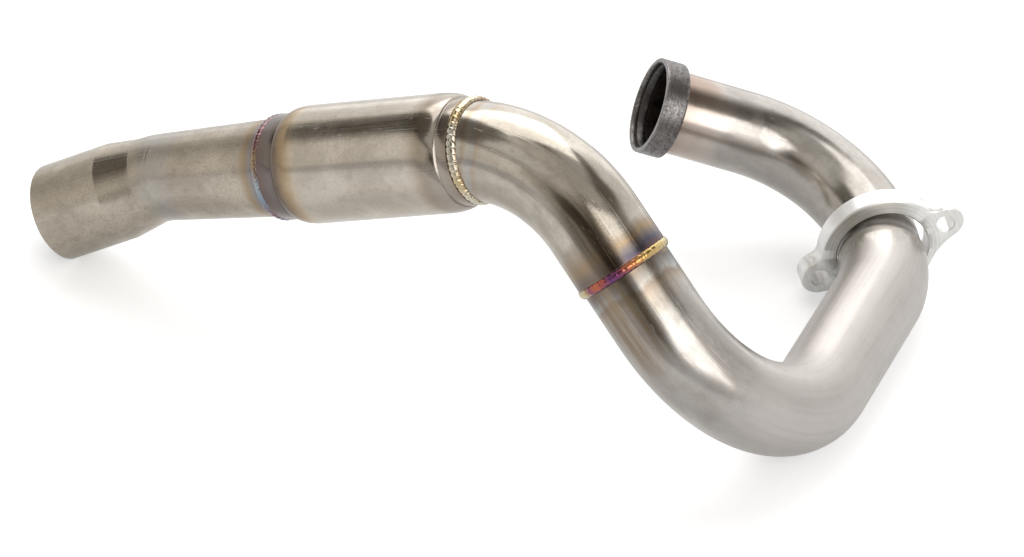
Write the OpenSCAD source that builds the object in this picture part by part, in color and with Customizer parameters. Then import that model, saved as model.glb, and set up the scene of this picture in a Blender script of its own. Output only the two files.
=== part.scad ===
// Stepped exhaust header for a single-cylinder motorcycle.
// The route is a bend table: straight runs, bends and the turn of each bend's plane,
// taken in the order the gas flows, from the port collar to the muffler socket.

/* [Tube sizes] */
// Outside diameter of the head tube
head_d = 38.1; // [34:0.1:42]
// Outside diameter after the swage, round the tight bend
low_d = 41; // [39.5:0.1:46]
// Wall of every tube
wall = 1.1; // [0.8:0.1:1.6]
// Radial clearance of a slip joint
slip_gap = 0.05; // [0.03:0.01:0.2]
// Length that one tube slips into the next
slip_len = 10; // [6:0.5:16]
// Length of the swage from the head tube to the larger size
swage_len = 7; // [4:0.5:12]

/* [Head pipe route] */
// Straight run from the collar mouth to the first bend
head_run = 48; // [30:0.5:70]
// Centreline radius of the first bend
bend1_r = 61; // [50:0.5:80]
// Angle of the first bend up to the swage
bend1_a = 87.8; // [70:0.1:95]
// Angle of the first bend after the swage
bend1_b = 27.8; // [15:0.1:45]
// Straight run down to the tight bend
drop_run = 79; // [60:0.5:110]
// Turn of the second bend's plane
bend2_turn = -24; // [-50:0.5:0]
// Centreline radius of the second bend
bend2_r = 67.5; // [55:0.5:85]
// Angle of the second bend
bend2_a = 100.3; // [80:0.1:120]
// Straight run up to the first weld
rise_run = 29; // [16:0.5:45]

/* [Mid pipe route] */
// Straight run after the first weld
mid_run = 20.5; // [14:0.5:40]
// Turn of the third bend's plane
bend3_turn = 85.6; // [60:0.1:110]
// Centreline radius of the third bend
bend3_r = 61.3; // [50:0.1:80]
// Angle of the third bend
bend3_a = 59.2; // [40:0.1:75]
// Straight stub before the chamber
mid_stub = 1.2; // [1:0.1:12]
// Angle at which the mid pipe is set into the chamber neck
mid_set = 7.7; // [0:0.1:9]

/* [Chamber] */
// Outside diameter of the chamber
chamber_d = 52; // [50:0.5:64]
// Length from front weld to rear weld
chamber_len = 100; // [80:0.5:140]
// Wall of the chamber shell
shell_wall = 1.1; // [0.8:0.1:1.6]
// Radial clearance between a neck and its pipe
neck_gap = 0.6; // [0.5:0.05:1]
// Length of the front neck
front_neck = 5.2; // [4:0.1:10]
// Length of the rear neck
rear_neck = 8; // [6:0.1:14]
// Length of the spun shoulder at the front
front_shoulder = 10; // [6:0.5:16]
// Length of the spun shoulder at the rear
rear_shoulder = 9; // [6:0.5:16]
// Depth of the mid pipe in the front neck
front_slip = 2.5; // [2:0.1:3.5]
// Depth of the tail pipe in the rear neck
rear_slip = 7; // [5:0.1:12]

/* [Perforated core] */
// Hole diameter in the core
core_hole_d = 5; // [3:0.1:7]
// Holes round the core, an even number
core_around = 10; // [6:2:12]
// Rows of holes along the core
core_rows = 6; // [3:1:8]
// Pitch of the rows
core_pitch = 10; // [8:0.5:12]

/* [Tail pipe] */
// Straight run from the rear weld to the small bend
tail_run = 64.5; // [40:0.5:90]
// Outside diameter at the small bend
tail_d = 39; // [36:0.1:42]
// Turn of the small bend's plane
bend4_turn = 38.9; // [0:0.1:90]
// Centreline radius of the small bend
bend4_r = 42; // [40:0.5:70]
// Angle of the small bend
bend4_a = 12.6; // [5:0.1:25]
// Straight run after the small bend
tail_stub = 0.6; // [0.6:0.1:20]
// Length of the cone that opens into the socket
socket_cone = 16.4; // [5:0.1:24]
// Length of the tail pipe before it starts to narrow
tail_lead = 4; // [2:0.5:12]
// Length of the muffler socket
socket_len = 35; // [25:0.5:50]
// Inside diameter of the muffler socket
socket_bore = 41.8; // [38:0.1:46]

/* [Port collar] */
// Outside diameter of the collar
collar_d = 44.3; // [42.5:0.1:50]
// Length of the collar
collar_len = 11.2; // [9:0.1:16]
// Diameter of the gasket recess in the mouth
recess_d = 40; // [38.5:0.1:41.5]
// Depth of the gasket recess
recess_depth = 2.6; // [1.5:0.1:4]
// Depth at which the tube is seated in the collar
tube_seat = 6.2; // [5.5:0.1:8]
// Length of the bore between the inner cone and the tube's seat
seat_land = 1; // [0.5:0.1:2]
// Bevel on the collar's front edge
lip_bevel = 0.4; // [0.1:0.1:1]
// Bevel on the collar's rear edge
back_bevel = 1; // [0.2:0.1:2]

/* [Exhaust flange] */
// Thickness of the flange plate
flange_t = 9.6; // [6:0.1:12]
// Bore of the flange
flange_bore = 42; // [40.6:0.1:43]
// Radius of the hub outline on its tall side
hub_r = 28.5; // [26:0.1:31]
// Radius of the hub outline on its low side
hub_low_r = 25.2; // [23.5:0.1:28]
// Radius of each ear
ear_r = 8.8; // [7:0.1:12]
// Distance between the two stud holes
stud_pitch = 61.5; // [58:0.5:70]
// Diameter of a stud hole
stud_hole = 8.4; // [6:0.1:10]
// Radius of the hollow between ear and hub on the tall side
ear_fillet = 6.3; // [4:0.1:18]
// Radius of the hollow between ear and hub on the low side
low_fillet = 30; // [10:1:60]
// Bevel round the outline and on the front of the bore
flange_bevel = 0.8; // [0.2:0.1:1.5]
// Bevel on the holes and on the back of the bore
hole_bevel = 0.3; // [0.1:0.1:0.8]
// Turn of the flange about the pipe
flange_turn = 44.5; // [0:0.1:90]
// Lean of the loose flange on the pipe, from ear to ear
flange_lean = -8.9; // [-10:0.1:10]
// Lean of the loose flange on the pipe, from its tall side to its low side
flange_tilt = -3; // [-10:0.1:10]
// Distance of the flange's front face past the start of the swage
flange_past = 0.4; // [-6:0.1:0.5]
// How far the loose flange sits off the pipe's centre, from ear to ear
flange_slide = -0.75; // [-1.5:0.05:1.5]
// How far the loose flange drops off the pipe's centre
flange_drop = 0.3; // [-1.5:0.05:1.5]

/* [Weld beads] */
// Radius of the section of the two beads on the chamber
bead_r = 2.4; // [1.4:0.1:3]
// How far the middle of such a bead lies under the pipe's surface
bead_sink = 0.7; // [0:0.1:1.2]
// How far the middle of a bead lies from the edge that it closes
bead_out = 1.6; // [0.5:0.1:2]
// Radius of the section of the bead between head pipe and mid pipe
mid_bead_r = 2.6; // [1.4:0.1:3]
// How far the middle of that bead lies under the tube's surface
mid_bead_sink = 0.9; // [0:0.1:1.2]

/* [Rest on the ground] */
// Heading of the port run
rest_heading = 35; // [0:0.05:90]
// Lean of the port run from vertical
rest_lean = 106.75; // [90:0.05:125]
// Roll of the whole header about the port run
rest_roll = 151.05; // [120:0.05:180]

/* [Hidden] */
$fn = 96;
hair = 0.05;                  // gap left between a bead and the metal it sits on
bend_draw = 0.05;             // how far the wall of a bend is drawn in
bend_lap = 0.5;               // how far a bend runs on inside the straight tube at each end
bend1_turn = 127.8;           // the first bend's plane, from the flange studs' datum
trim = 6;                     // how far a pipe is drawn on before it is cut to length
bead_reach = 8;               // how far a pipe's shape reaches past a bead that it cuts
flare_land = 1.4;             // length of the straight rim of the core's flare
core_lead = 0.8;              // how far the core starts behind the mid pipe's end
flare_run = 2;                // how far the core's flare runs on behind the neck

head_r = head_d / 2;
low_r = low_d / 2;
mid_r = low_r + slip_gap + wall;              // the mid pipe slips over the low tube
neck_ri = mid_r + neck_gap;
neck_ro = neck_ri + shell_wall;
shell_r = chamber_d / 2;
tail_r = tail_d / 2;
socket_r = socket_bore / 2 + wall;
core_ro = mid_r - wall - slip_gap;            // the core slips into the tail pipe
core_start = front_slip + core_lead;
core_end = chamber_len + flare_run;

// Rigid moves as matrices, so that each piece finds its place along the route.
function move(v) = [[1, 0, 0, v[0]], [0, 1, 0, v[1]], [0, 0, 1, v[2]], [0, 0, 0, 1]];
function spin(a) = [[cos(a), -sin(a), 0, 0], [sin(a), cos(a), 0, 0], [0, 0, 1, 0], [0, 0, 0, 1]];
function tip(a) = [[cos(a), 0, sin(a), 0], [0, 1, 0, 0], [-sin(a), 0, cos(a), 0], [0, 0, 0, 1]];
function roll(a) = [[1, 0, 0, 0], [0, cos(a), -sin(a), 0], [0, sin(a), cos(a), 0], [0, 0, 0, 1]];
function along(l) = move([0, 0, l]);
function around(r, a) = move([r, 0, 0]) * tip(a) * move([-r, 0, 0]);

// The route, from the collar mouth (s0) to the end of the socket (s14), before it is set down.
s0 = spin(rest_heading) * tip(rest_lean) * spin(rest_roll);
s1 = s0 * spin(bend1_turn) * along(head_run);
s2 = s1 * around(bend1_r, bend1_a);
s3 = s2 * along(swage_len);
s4 = s3 * around(bend1_r, bend1_b);
s5 = s4 * along(drop_run) * spin(bend2_turn);
s6 = s5 * around(bend2_r, bend2_a);
s7 = s6 * along(rise_run);
s8 = s7 * along(mid_run) * spin(bend3_turn);
s9 = s8 * around(bend3_r, bend3_a);
s10 = s9 * along(mid_stub) * tip(mid_set);
s11 = s10 * along(chamber_len);
s12 = s11 * along(tail_run) * spin(bend4_turn);
s13 = s12 * around(bend4_r, bend4_a);
s14 = s13 * along(tail_stub + socket_cone + socket_len);
sf = s2 * around(-bend1_r, (flange_t / 2 - flange_past) * 180 / PI / bend1_r)
   * spin(flange_turn) * move([flange_slide, flange_drop, 0]) * tip(flange_lean) * roll(flange_tilt);

// Each circle along the route reaches r * sqrt(1 - t^2) past its centre on an axis.
function reach(m, r, i) = r * sqrt(max(0, 1 - m[i][2] * m[i][2]));
function arcs(m, r, a, tube) = [for (k = [0 : 40]) [m * around(r, a * k / 40), tube]];
rims = concat([[s0 * along(lip_bevel), collar_d / 2],
     [s0 * along(collar_len - back_bevel), collar_d / 2]],
    arcs(s1, bend1_r, bend1_a, head_r), arcs(s3, bend1_r, bend1_b, low_r),
    arcs(s5, bend2_r, bend2_a, low_r), arcs(s8, bend3_r, bend3_a, mid_r),
    [[s10 * along(front_neck + front_shoulder), shell_r],
     [s11 * along(-rear_neck - rear_shoulder), shell_r]],
    [[s13 * along(tail_stub + socket_cone), socket_r], [s14, socket_r]],
    [for (z = [-1, 1]) [sf * along(z * (flange_t / 2 - flange_bevel)), hub_low_r]],
    [for (z = [-1, 1], x = [-1, 1], b = [0, flange_bevel])
        [sf * move([x * stud_pitch / 2, 0, z * (flange_t / 2 - flange_bevel + b)]), ear_r - b]]);
low_side = [for (i = [0 : 2]) min([for (q = rims) q[0][i][3] - reach(q[0], q[1], i)])];
high_side = [for (i = [0 : 2]) max([for (q = rims) q[0][i][3] + reach(q[0], q[1], i)])];
// The header is set down with its lowest point on the ground and its box centred.
set_down = move([-(low_side[0] + high_side[0]) / 2, -(low_side[1] + high_side[1]) / 2, -low_side[2]]);

module at(m) multmatrix(set_down * m) children();

module go(l) translate([0, 0, l]) children();
module turn(a) rotate([0, 0, a]) children();
module past(r, a) translate([r, 0, 0]) rotate([0, a, 0]) translate([-r, 0, 0]) children();

// A bend that leaves along +Z and turns toward +X, drawn a little under the straight tube's size.
module bend(r, a, tube) {
    lap = bend_lap * 180 / PI / r;
    translate([r, 0, 0]) rotate([90, 0, 180]) turn(-lap) rotate_extrude(angle = a + 2 * lap)
        translate([r, 0]) circle(tube - bend_draw);
}

// Turned in one piece: gasket recess, inner cone, and a socket for the tube from behind.
module port_collar() color([0.30, 0.30, 0.31]) at(s0) rotate_extrude() polygon([
    [recess_d / 2, 0], [collar_d / 2 - lip_bevel, 0], [collar_d / 2, lip_bevel],
    [collar_d / 2, collar_len - back_bevel], [collar_d / 2 - back_bevel, collar_len],
    [head_r + slip_gap, collar_len], [head_r + slip_gap, tube_seat], [head_r - wall, tube_seat],
    [head_r - wall, tube_seat - seat_land], [head_r, recess_depth], [recess_d / 2, recess_depth]]);

// A disc of the flange, bevelled at both faces.
module disc(r) {
    go(-flange_t / 2) cylinder(r1 = r - flange_bevel, r2 = r, h = flange_bevel);
    go(flange_bevel - flange_t / 2) cylinder(r = r, h = flange_t - 2 * flange_bevel);
    go(flange_t / 2 - flange_bevel) cylinder(r1 = r, r2 = r - flange_bevel, h = flange_bevel);
}

// A round cutter through the flange, flared at both faces.
module drill(r, front, back) {
    go(-flange_t) cylinder(r = r, h = 2 * flange_t);
    go(flange_t / 2 - front) cylinder(r1 = r, r2 = r + 2 * front, h = 2 * front);
    go(-flange_t / 2 - back) cylinder(r1 = r + 2 * back, r2 = r, h = 2 * back);
}

// Where a hollow of radius f touches both the hub and the ear.
function hollow(hub, f) = let (x = stud_pitch / 2,
        a = (x * x + (hub + f) * (hub + f) - (ear_r + f) * (ear_r + f)) / (2 * x))
    [a, sqrt((hub + f) * (hub + f) - a * a)];

// Two-ear plate: hub and ears blended by hollows that touch both circles; the hub is lower on one side.
module exhaust_flange() {
    ear_x = stud_pitch / 2;
    tall = hollow(hub_r, ear_fillet);
    low = hollow(hub_low_r, low_fillet);
    color([0.80, 0.81, 0.80]) at(sf) difference() {
        union() {
            difference() {
                disc(hub_r);
                translate([-2 * hub_r, 0, -flange_t]) cube([4 * hub_r, 2 * hub_r, 2 * flange_t]);
            }
            disc(hub_low_r);
            for (x = [-1, 1]) {
                translate([x * ear_x, 0, 0]) disc(ear_r);
                go(-flange_t / 2) linear_extrude(flange_t)
                    polygon(x > 0 ? [[0, 0], [tall[0], -tall[1]], [ear_x, 0], low]
                        : [[0, 0], [-low[0], low[1]], [-ear_x, 0], [-tall[0], -tall[1]]]);
            }
        }
        for (x = [-1, 1]) {
            translate([x * tall[0], -tall[1], 0]) drill(ear_fillet + hair, flange_bevel, flange_bevel);
            translate([x * low[0], low[1], 0]) drill(low_fillet + hair, flange_bevel, flange_bevel);
            translate([x * ear_x, 0, 0]) drill(stud_hole / 2, hole_bevel, hole_bevel);
        }
        drill(flange_bore / 2, flange_bevel, hole_bevel);
    }
}

module head_form(inset, over) at(s0) {
    go(tube_seat + hair - over)
        cylinder(r = head_r - inset, h = head_run - tube_seat - hair + over);
    turn(bend1_turn) go(head_run) {
        bend(bend1_r, bend1_a, head_r - inset);
        past(bend1_r, bend1_a) {
            cylinder(r1 = head_r - inset, r2 = low_r - inset, h = swage_len - 2 * bend_lap);
            go(swage_len - 2 * bend_lap) cylinder(r = low_r - inset, h = 2 * bend_lap);
            go(swage_len) {
                bend(bend1_r, bend1_b, low_r - inset);
                past(bend1_r, bend1_b) {
                    cylinder(r = low_r - inset, h = drop_run);
                    go(drop_run) turn(bend2_turn) {
                        bend(bend2_r, bend2_a, low_r - inset);
                        past(bend2_r, bend2_a)
                            cylinder(r = low_r - inset, h = rise_run + slip_len + over);
                    }
                }
            }
        }
    }
}

// One tube from the collar to the first weld: bent, swaged up in the bend, then bent back.
module head_pipe() color([0.74, 0.72, 0.69]) difference() {
    head_form(0, 0);
    head_form(wall, 1);
}

module mid_form(inset, over) at(s7) {
    go(-over) cylinder(r = mid_r - inset, h = mid_run + over);
    go(mid_run) turn(bend3_turn) {
        bend(bend3_r, bend3_a, mid_r - inset);
        past(bend3_r, bend3_a)
            cylinder(r = mid_r - inset, h = mid_stub + front_slip + trim + over);
    }
}

// The far end is cut square to the chamber, which it enters at a small angle.
module mid_pipe() color([0.66, 0.64, 0.60]) difference() {
    mid_form(0, 0);
    mid_form(wall, 1);
    at(s7) go(mid_run) turn(bend3_turn) past(bend3_r, bend3_a)
        go(mid_stub) rotate([0, mid_set, 0]) go(front_slip) cylinder(r = 2 * mid_r, h = 3 * slip_len);
}

// The last stretch of a bend that ends at the origin.
module bend_end(r, l, tube) translate([r, 0, 0]) rotate([90, 0, 180]) turn(-l * 180 / PI / r)
    rotate_extrude(angle = (l + bend_lap) * 180 / PI / r) translate([r, 0]) circle(tube - bend_draw);

module ring(middle, r) rotate_extrude() translate([middle, 0]) circle(r);
module core_of(r) go(-bead_reach) cylinder(r = r + hair, h = 2 * bead_reach);

module mid_weld() color([0.72, 0.62, 0.42]) at(s7) difference() {
    go(-bead_out) ring(low_r - mid_bead_sink, mid_bead_r);
    core_of(low_r);
    go(-hair) cylinder(r = mid_r + hair, h = bead_reach);
}

module front_weld() color([0.76, 0.66, 0.42]) at(s10) difference() {
    go(-bead_out) ring(mid_r - bead_sink, bead_r);
    rotate([0, -mid_set, 0]) go(-mid_stub) {
        go(-bend_lap) cylinder(r = mid_r + hair, h = bead_reach);
        bend_end(bend3_r, 2 * bead_reach, mid_r + hair);
    }
    go(-hair) cylinder(r = neck_ro + hair, h = bead_reach);
}

module rear_weld() color([0.46, 0.42, 0.52]) at(s11) difference() {
    go(bead_out) ring(mid_r - bead_sink, bead_r);
    core_of(mid_r);
    go(-bead_reach) cylinder(r = neck_ro + hair, h = bead_reach + hair);
}

// Half profile of the shell: each shoulder is a quarter ellipse that ends on a neck.
function shoulder(r_neck, r_body, len, n = 10) =
    [for (k = [0 : n]) [r_neck + (r_body - r_neck) * sin(90 * k / n), len * (1 - cos(90 * k / n))]];
function shell_profile(inset) = let (
        body = shell_r - inset, neck = neck_ro - inset,
        front = shoulder(neck, body, front_shoulder - inset),
        rear = shoulder(neck, body, rear_shoulder - inset),
        n = len(rear) - 1)
    concat([[0, -2 * inset], [neck, -2 * inset]],
        [for (p = front) [p[0], front_neck + inset + p[1]]],
        [for (k = [0 : n]) [rear[n - k][0], chamber_len - rear_neck - inset - rear[n - k][1]]],
        [[neck, chamber_len + 2 * inset], [0, chamber_len + 2 * inset]]);

module chamber_shell() color([0.62, 0.58, 0.53]) at(s10) difference() {
    rotate_extrude() polygon(shell_profile(0));
    rotate_extrude() polygon(shell_profile(shell_wall));
}

// Perforated core: a flared front rim centres it in the neck, its rear end slips into the tail pipe.
module chamber_core() color([0.55, 0.54, 0.52]) at(s10) {
    flare_r = neck_ri - slip_gap;
    flare = front_neck + flare_run;
    difference() {
        union() {
            go(core_start) cylinder(r = flare_r, h = flare_land);
            go(core_start + flare_land) cylinder(r1 = flare_r, r2 = core_ro, h = flare);
            go(core_start + flare_land + flare)
                cylinder(r = core_ro, h = core_end - core_start - flare_land - flare);
        }
        go(core_start - flare_land) cylinder(r = flare_r - wall, h = 2 * flare_land);
        go(core_start + flare_land) cylinder(r1 = flare_r - wall, r2 = core_ro - wall, h = flare);
        go(core_start + flare_land + flare) cylinder(r = core_ro - wall, h = core_end);
        for (row = [0 : core_rows - 1], k = [0 : core_around - 1])
            go(chamber_len / 2 + (row - (core_rows - 1) / 2) * core_pitch)
                turn((k + 0.5 * (row % 2)) * 360 / core_around)
                    translate([core_ro, 0, 0]) rotate([0, 90, 0])
                        cylinder(r = core_hole_d / 2, h = 3 * wall, center = true, $fn = 32);
    }
}

module tail_form(inset, over) at(s11) {
    go(-rear_slip - over) cylinder(r = mid_r - inset, h = rear_slip + over + tail_lead);
    go(tail_lead) cylinder(r1 = mid_r - inset, r2 = tail_r - inset, h = tail_run - tail_lead);
    go(tail_run) turn(bend4_turn) {
        bend(bend4_r, bend4_a, tail_r - inset);
        past(bend4_r, bend4_a) {
            cylinder(r = tail_r - inset, h = tail_stub);
            go(tail_stub) cylinder(r1 = tail_r - inset, r2 = socket_r - inset, h = socket_cone);
            go(tail_stub + socket_cone) cylinder(r = socket_r - inset, h = socket_len + over);
        }
    }
}

module tail_pipe() color([0.62, 0.58, 0.53]) difference() {
    tail_form(0, 0);
    tail_form(wall, 1);
}

port_collar();
exhaust_flange();
head_pipe();
mid_weld();
mid_pipe();
front_weld();
chamber_shell();
chamber_core();
rear_weld();
tail_pipe();
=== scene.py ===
import math

import bmesh
import bpy
from mathutils import Matrix, Vector, noise


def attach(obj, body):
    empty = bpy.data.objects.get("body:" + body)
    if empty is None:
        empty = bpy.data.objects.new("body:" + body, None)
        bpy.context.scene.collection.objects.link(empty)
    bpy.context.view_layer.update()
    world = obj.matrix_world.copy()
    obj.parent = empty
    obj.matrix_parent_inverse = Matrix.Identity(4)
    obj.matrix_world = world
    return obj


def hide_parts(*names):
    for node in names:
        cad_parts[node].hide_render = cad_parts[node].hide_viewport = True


mm = 0.001
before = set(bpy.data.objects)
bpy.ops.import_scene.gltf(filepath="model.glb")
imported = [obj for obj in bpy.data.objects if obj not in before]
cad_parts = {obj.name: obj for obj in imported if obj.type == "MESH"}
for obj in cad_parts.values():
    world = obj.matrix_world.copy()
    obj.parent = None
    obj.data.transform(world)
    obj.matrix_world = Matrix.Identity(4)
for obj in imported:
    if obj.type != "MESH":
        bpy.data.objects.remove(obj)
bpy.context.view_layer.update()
print("frame loaded:", ", ".join(sorted(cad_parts)))


# the route, from the collar mouth to the muffler socket

route = {
    # outer radii, 0.1 mm under the frame's, and the wall
    "headRadius": 18.95, "lowRadius": 20.4, "midRadius": 21.55, "tailRadius": 19.4, "socketRadius": 21.9, "wall": 1.1,
    # runs in mm, bends in degrees, turns of each bend's plane in degrees
    "headRun": 48, "bendOneRadius": 61, "bendOneUp": 87.8, "swage": 7, "bendOneDown": 27.8, "bendOneTurn": 127.8,
    "dropRun": 79, "bendTwoTurn": -24, "bendTwoRadius": 67.5, "bendTwo": 100.3, "riseRun": 29,
    "midRun": 20.5, "bendThreeTurn": 85.6, "bendThreeRadius": 61.3, "bendThree": 59.2, "midStub": 1.2, "midSet": 7.7,
    "chamber": 100, "tailRun": 64.5, "bendFourTurn": 38.9, "bendFourRadius": 42, "bendFour": 12.6,
    "tailLead": 4, "tailStub": 0.6, "socketCone": 16.4, "socket": 35,
    # how far each tube starts inside the next
    "tubeSeat": 6.25, "slip": 10, "midLap": 2.0, "tailSlip": 7,
    # where the mouth lies and how it is turned
    "mouthPlace": (26.1898, 69.9106, 64.8227), "heading": 35, "lean": 106.75, "roll": 151.05,
}

# how the loose flange lies on the head pipe
flange = {"thick": 9.6, "past": 0.4, "turn": 44.5, "slide": -0.75, "drop": 0.3, "lean": -8.9, "tilt": -3}


def along(length):
    return Matrix.Translation((0, 0, length * mm))


def spin(angle):
    return Matrix.Rotation(math.radians(angle), 4, "Z")


def tip(angle):
    return Matrix.Rotation(math.radians(angle), 4, "Y")


def around(radius, angle):
    return Matrix.Translation((radius * mm, 0, 0)) @ tip(angle) @ Matrix.Translation((-radius * mm, 0, 0))


def makeStations():  # one matrix for each point where the pipe changes
    r = route
    s = {"mouth": spin(r["heading"]) @ tip(r["lean"]) @ spin(r["roll"])}
    s["bendOne"] = s["mouth"] @ spin(r["bendOneTurn"]) @ along(r["headRun"])
    s["swage"] = s["bendOne"] @ around(r["bendOneRadius"], r["bendOneUp"])
    s["bendOneLow"] = s["swage"] @ along(r["swage"])
    s["drop"] = s["bendOneLow"] @ around(r["bendOneRadius"], r["bendOneDown"])
    s["bendTwo"] = s["drop"] @ along(r["dropRun"]) @ spin(r["bendTwoTurn"])
    s["rise"] = s["bendTwo"] @ around(r["bendTwoRadius"], r["bendTwo"])
    s["midWeld"] = s["rise"] @ along(r["riseRun"])
    s["bendThree"] = s["midWeld"] @ along(r["midRun"]) @ spin(r["bendThreeTurn"])
    s["stub"] = s["bendThree"] @ around(r["bendThreeRadius"], r["bendThree"])
    s["frontWeld"] = s["stub"] @ along(r["midStub"]) @ tip(r["midSet"])
    s["rearWeld"] = s["frontWeld"] @ along(r["chamber"])
    s["bendFour"] = s["rearWeld"] @ along(r["tailRun"]) @ spin(r["bendFourTurn"])
    s["tailStub"] = s["bendFour"] @ around(r["bendFourRadius"], r["bendFour"])
    s["end"] = s["tailStub"] @ along(r["tailStub"] + r["socketCone"] + r["socket"])
    back = math.degrees((flange["thick"] / 2 - flange["past"]) / r["bendOneRadius"])
    s["flange"] = (s["swage"] @ around(-r["bendOneRadius"], back) @ spin(flange["turn"])
                   @ Matrix.Translation([v * mm for v in (flange["slide"], flange["drop"], 0)])
                   @ tip(flange["lean"]) @ Matrix.Rotation(math.radians(flange["tilt"]), 4, "X"))
    return s


stations = makeStations()
mouthPlace = Matrix.Translation([v * mm for v in route["mouthPlace"]])
stations = {name: mouthPlace @ m for name, m in stations.items()}
print("route laid out; the socket ends at", [round(v, 4) for v in stations["end"].translation])


# shader maths written as expressions

class Socket:
    def __init__(self, finish, link):
        self.finish, self.link = finish, link

    def maths(self, operation, *others, clamp=False):
        return self.finish.node("ShaderNodeMath", {"operation": operation, "use_clamp": clamp}, [self, *others])

    def __add__(self, other):
        return self.maths("ADD", other)

    def __radd__(self, other):
        return self.maths("ADD", other)

    def __sub__(self, other):
        return self.maths("SUBTRACT", other)

    def __rsub__(self, other):
        return self.finish.value(other).maths("SUBTRACT", self)

    def __mul__(self, other):
        return self.maths("MULTIPLY", other)

    def __rmul__(self, other):
        return self.maths("MULTIPLY", other)

    def __truediv__(self, other):
        return self.maths("DIVIDE", other)

    def __rtruediv__(self, other):
        return self.finish.value(other).maths("DIVIDE", self)

    def __pow__(self, other):
        return self.maths("POWER", other)

    def clamped(self):
        return self.maths("ADD", 0.0, clamp=True)

    def size(self):
        return self.maths("ABSOLUTE")

    def under(self, other):
        return self.maths("MINIMUM", other)

    def over(self, other):
        return self.maths("MAXIMUM", other)

    def step(self, low, high):  # 0 below low, 1 above high
        return self.finish.node("ShaderNodeMapRange", {"interpolation_type": "SMOOTHSTEP"},
                                {"Value": self, "From Min": low, "From Max": high})


class Finish:
    def __init__(self, name, owner=None):
        self.material = owner or bpy.data.materials.new(name)
        self.material.use_nodes = True
        self.tree = self.material.node_tree
        self.tree.nodes.clear()
        self.made = 0

    def node(self, kind, settings=None, values=None, out=0):
        n = self.tree.nodes.new(kind)
        n.location = (self.made % 12 * 180 - 1800, -(self.made // 12) * 220)
        self.made += 1
        for key, setting in (settings or {}).items():
            if key == "stops":
                ramp = n.color_ramp
                while len(ramp.elements) < len(setting):
                    ramp.elements.new(0.5)
                for element, (place, colour) in zip(ramp.elements, setting):
                    element.position = place
                    element.color = (*colour, 1)
            else:
                setattr(n, key, setting)
        pairs = enumerate(values) if isinstance(values, list) else (values or {}).items()
        for key, v in pairs:
            socket = n.inputs[key]
            if isinstance(v, Socket):
                self.tree.links.new(v.link, socket)
            elif isinstance(v, tuple) and socket.type == "RGBA":
                socket.default_value = (*v, 1)
            else:
                socket.default_value = v
        return Socket(self, n.outputs[out]) if len(n.outputs) else None

    def value(self, number):
        n = self.node("ShaderNodeValue")
        n.link.default_value = number
        return n

    def millimetres(self, objectSpace=False):  # the pipe's own space, or the object's
        if objectSpace:
            place = self.node("ShaderNodeTexCoord", out="Object")
        else:
            place = self.node("ShaderNodeAttribute", {"attribute_name": "pipeSpace"}, out="Vector")
        return self.node("ShaderNodeVectorMath", {"operation": "SCALE"}, {"Vector": place, "Scale": 1000})

    def split(self, vector):
        n = self.tree.nodes.new("ShaderNodeSeparateXYZ")
        self.tree.links.new(vector.link, n.inputs[0])
        return [Socket(self, o) for o in n.outputs]

    def scaled(self, vector, scale, shift=(0, 0, 0)):
        return self.node("ShaderNodeMapping", None, {"Vector": vector, "Scale": scale, "Location": shift})

    def noise(self, vector, scale, detail, rough):
        return self.node("ShaderNodeTexNoise", None,
                         {"Vector": vector, "Scale": scale, "Detail": detail, "Roughness": rough}, out="Fac")

    def haze(self, vector, kind):  # one of the plain noises by name
        return self.noise(vector, *noises[kind])

    def grain(self, vector, kind):  # one of the patterns drawn out along or across the pipe
        scale, shift, detail, rough = pattern[kind]
        return self.noise(self.scaled(vector, scale, shift), 1.0, detail, rough)

    def dot(self, vector, direction):
        return self.node("ShaderNodeVectorMath", {"operation": "DOT_PRODUCT"}, [vector, direction], out="Value")

    def band(self, value, low, high, soft):  # 1 between low and high
        return value.step(low - soft, low + soft) * (1 - value.step(high - soft, high + soft))

    def turned(self, x, y, facing):  # 0 to 1 round the pipe, 0.5 at the side that faces this angle
        c, s = math.cos(math.radians(facing)), math.sin(math.radians(facing))
        return (y * c - x * s).maths("ARCTAN2", x * c + y * s) / (2 * math.pi) + 0.5

    def arc(self, x, y, facing, radius):  # millimetres round the pipe from the side that faces this angle
        return (self.turned(x, y, facing) - 0.5) * (2 * math.pi * radius)

    def mix(self, factor, a, b):
        n = self.tree.nodes.new("ShaderNodeMix")
        n.data_type = "RGBA"
        for socket, v in zip((n.inputs[0], n.inputs[6], n.inputs[7]), (factor, a, b)):
            if isinstance(v, Socket):
                self.tree.links.new(v.link, socket)
            else:
                socket.default_value = (*v, 1) if isinstance(v, tuple) else v
        return Socket(self, n.outputs[2])

    def ramp(self, factor, stops):
        return self.node("ShaderNodeValToRGB", {"stops": stops}, {"Fac": factor}, out="Color")

    def bump(self, height, strength, distance, normal=None):
        values = {"Height": height, "Strength": strength, "Distance": distance}
        if normal is not None:
            values["Normal"] = normal
        return self.node("ShaderNodeBump", None, values)

    def emboss(self, height, kind, normal=None):  # one of the reliefs by name
        strength, deep = relief[kind]
        return self.bump(height, strength, deep * mm, normal)

    def surface(self, **values):
        shader = self.node("ShaderNodeBsdfPrincipled", None, {k.replace("_", " "): v for k, v in values.items()})
        self.node("ShaderNodeOutputMaterial", None, {"Surface": shader})
        return self.material


# tubes, swept ring by ring in the pipe's own space

meshing = {"sides": 128, "bendStep": 2.5, "edgeRing": 0.5, "rim": 0.2, "corner": 1.1, "merge": 0.002}


def newMesh():
    bm = bmesh.new()
    bm.verts.layers.float_vector.new("pipeSpace")
    return bm


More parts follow.
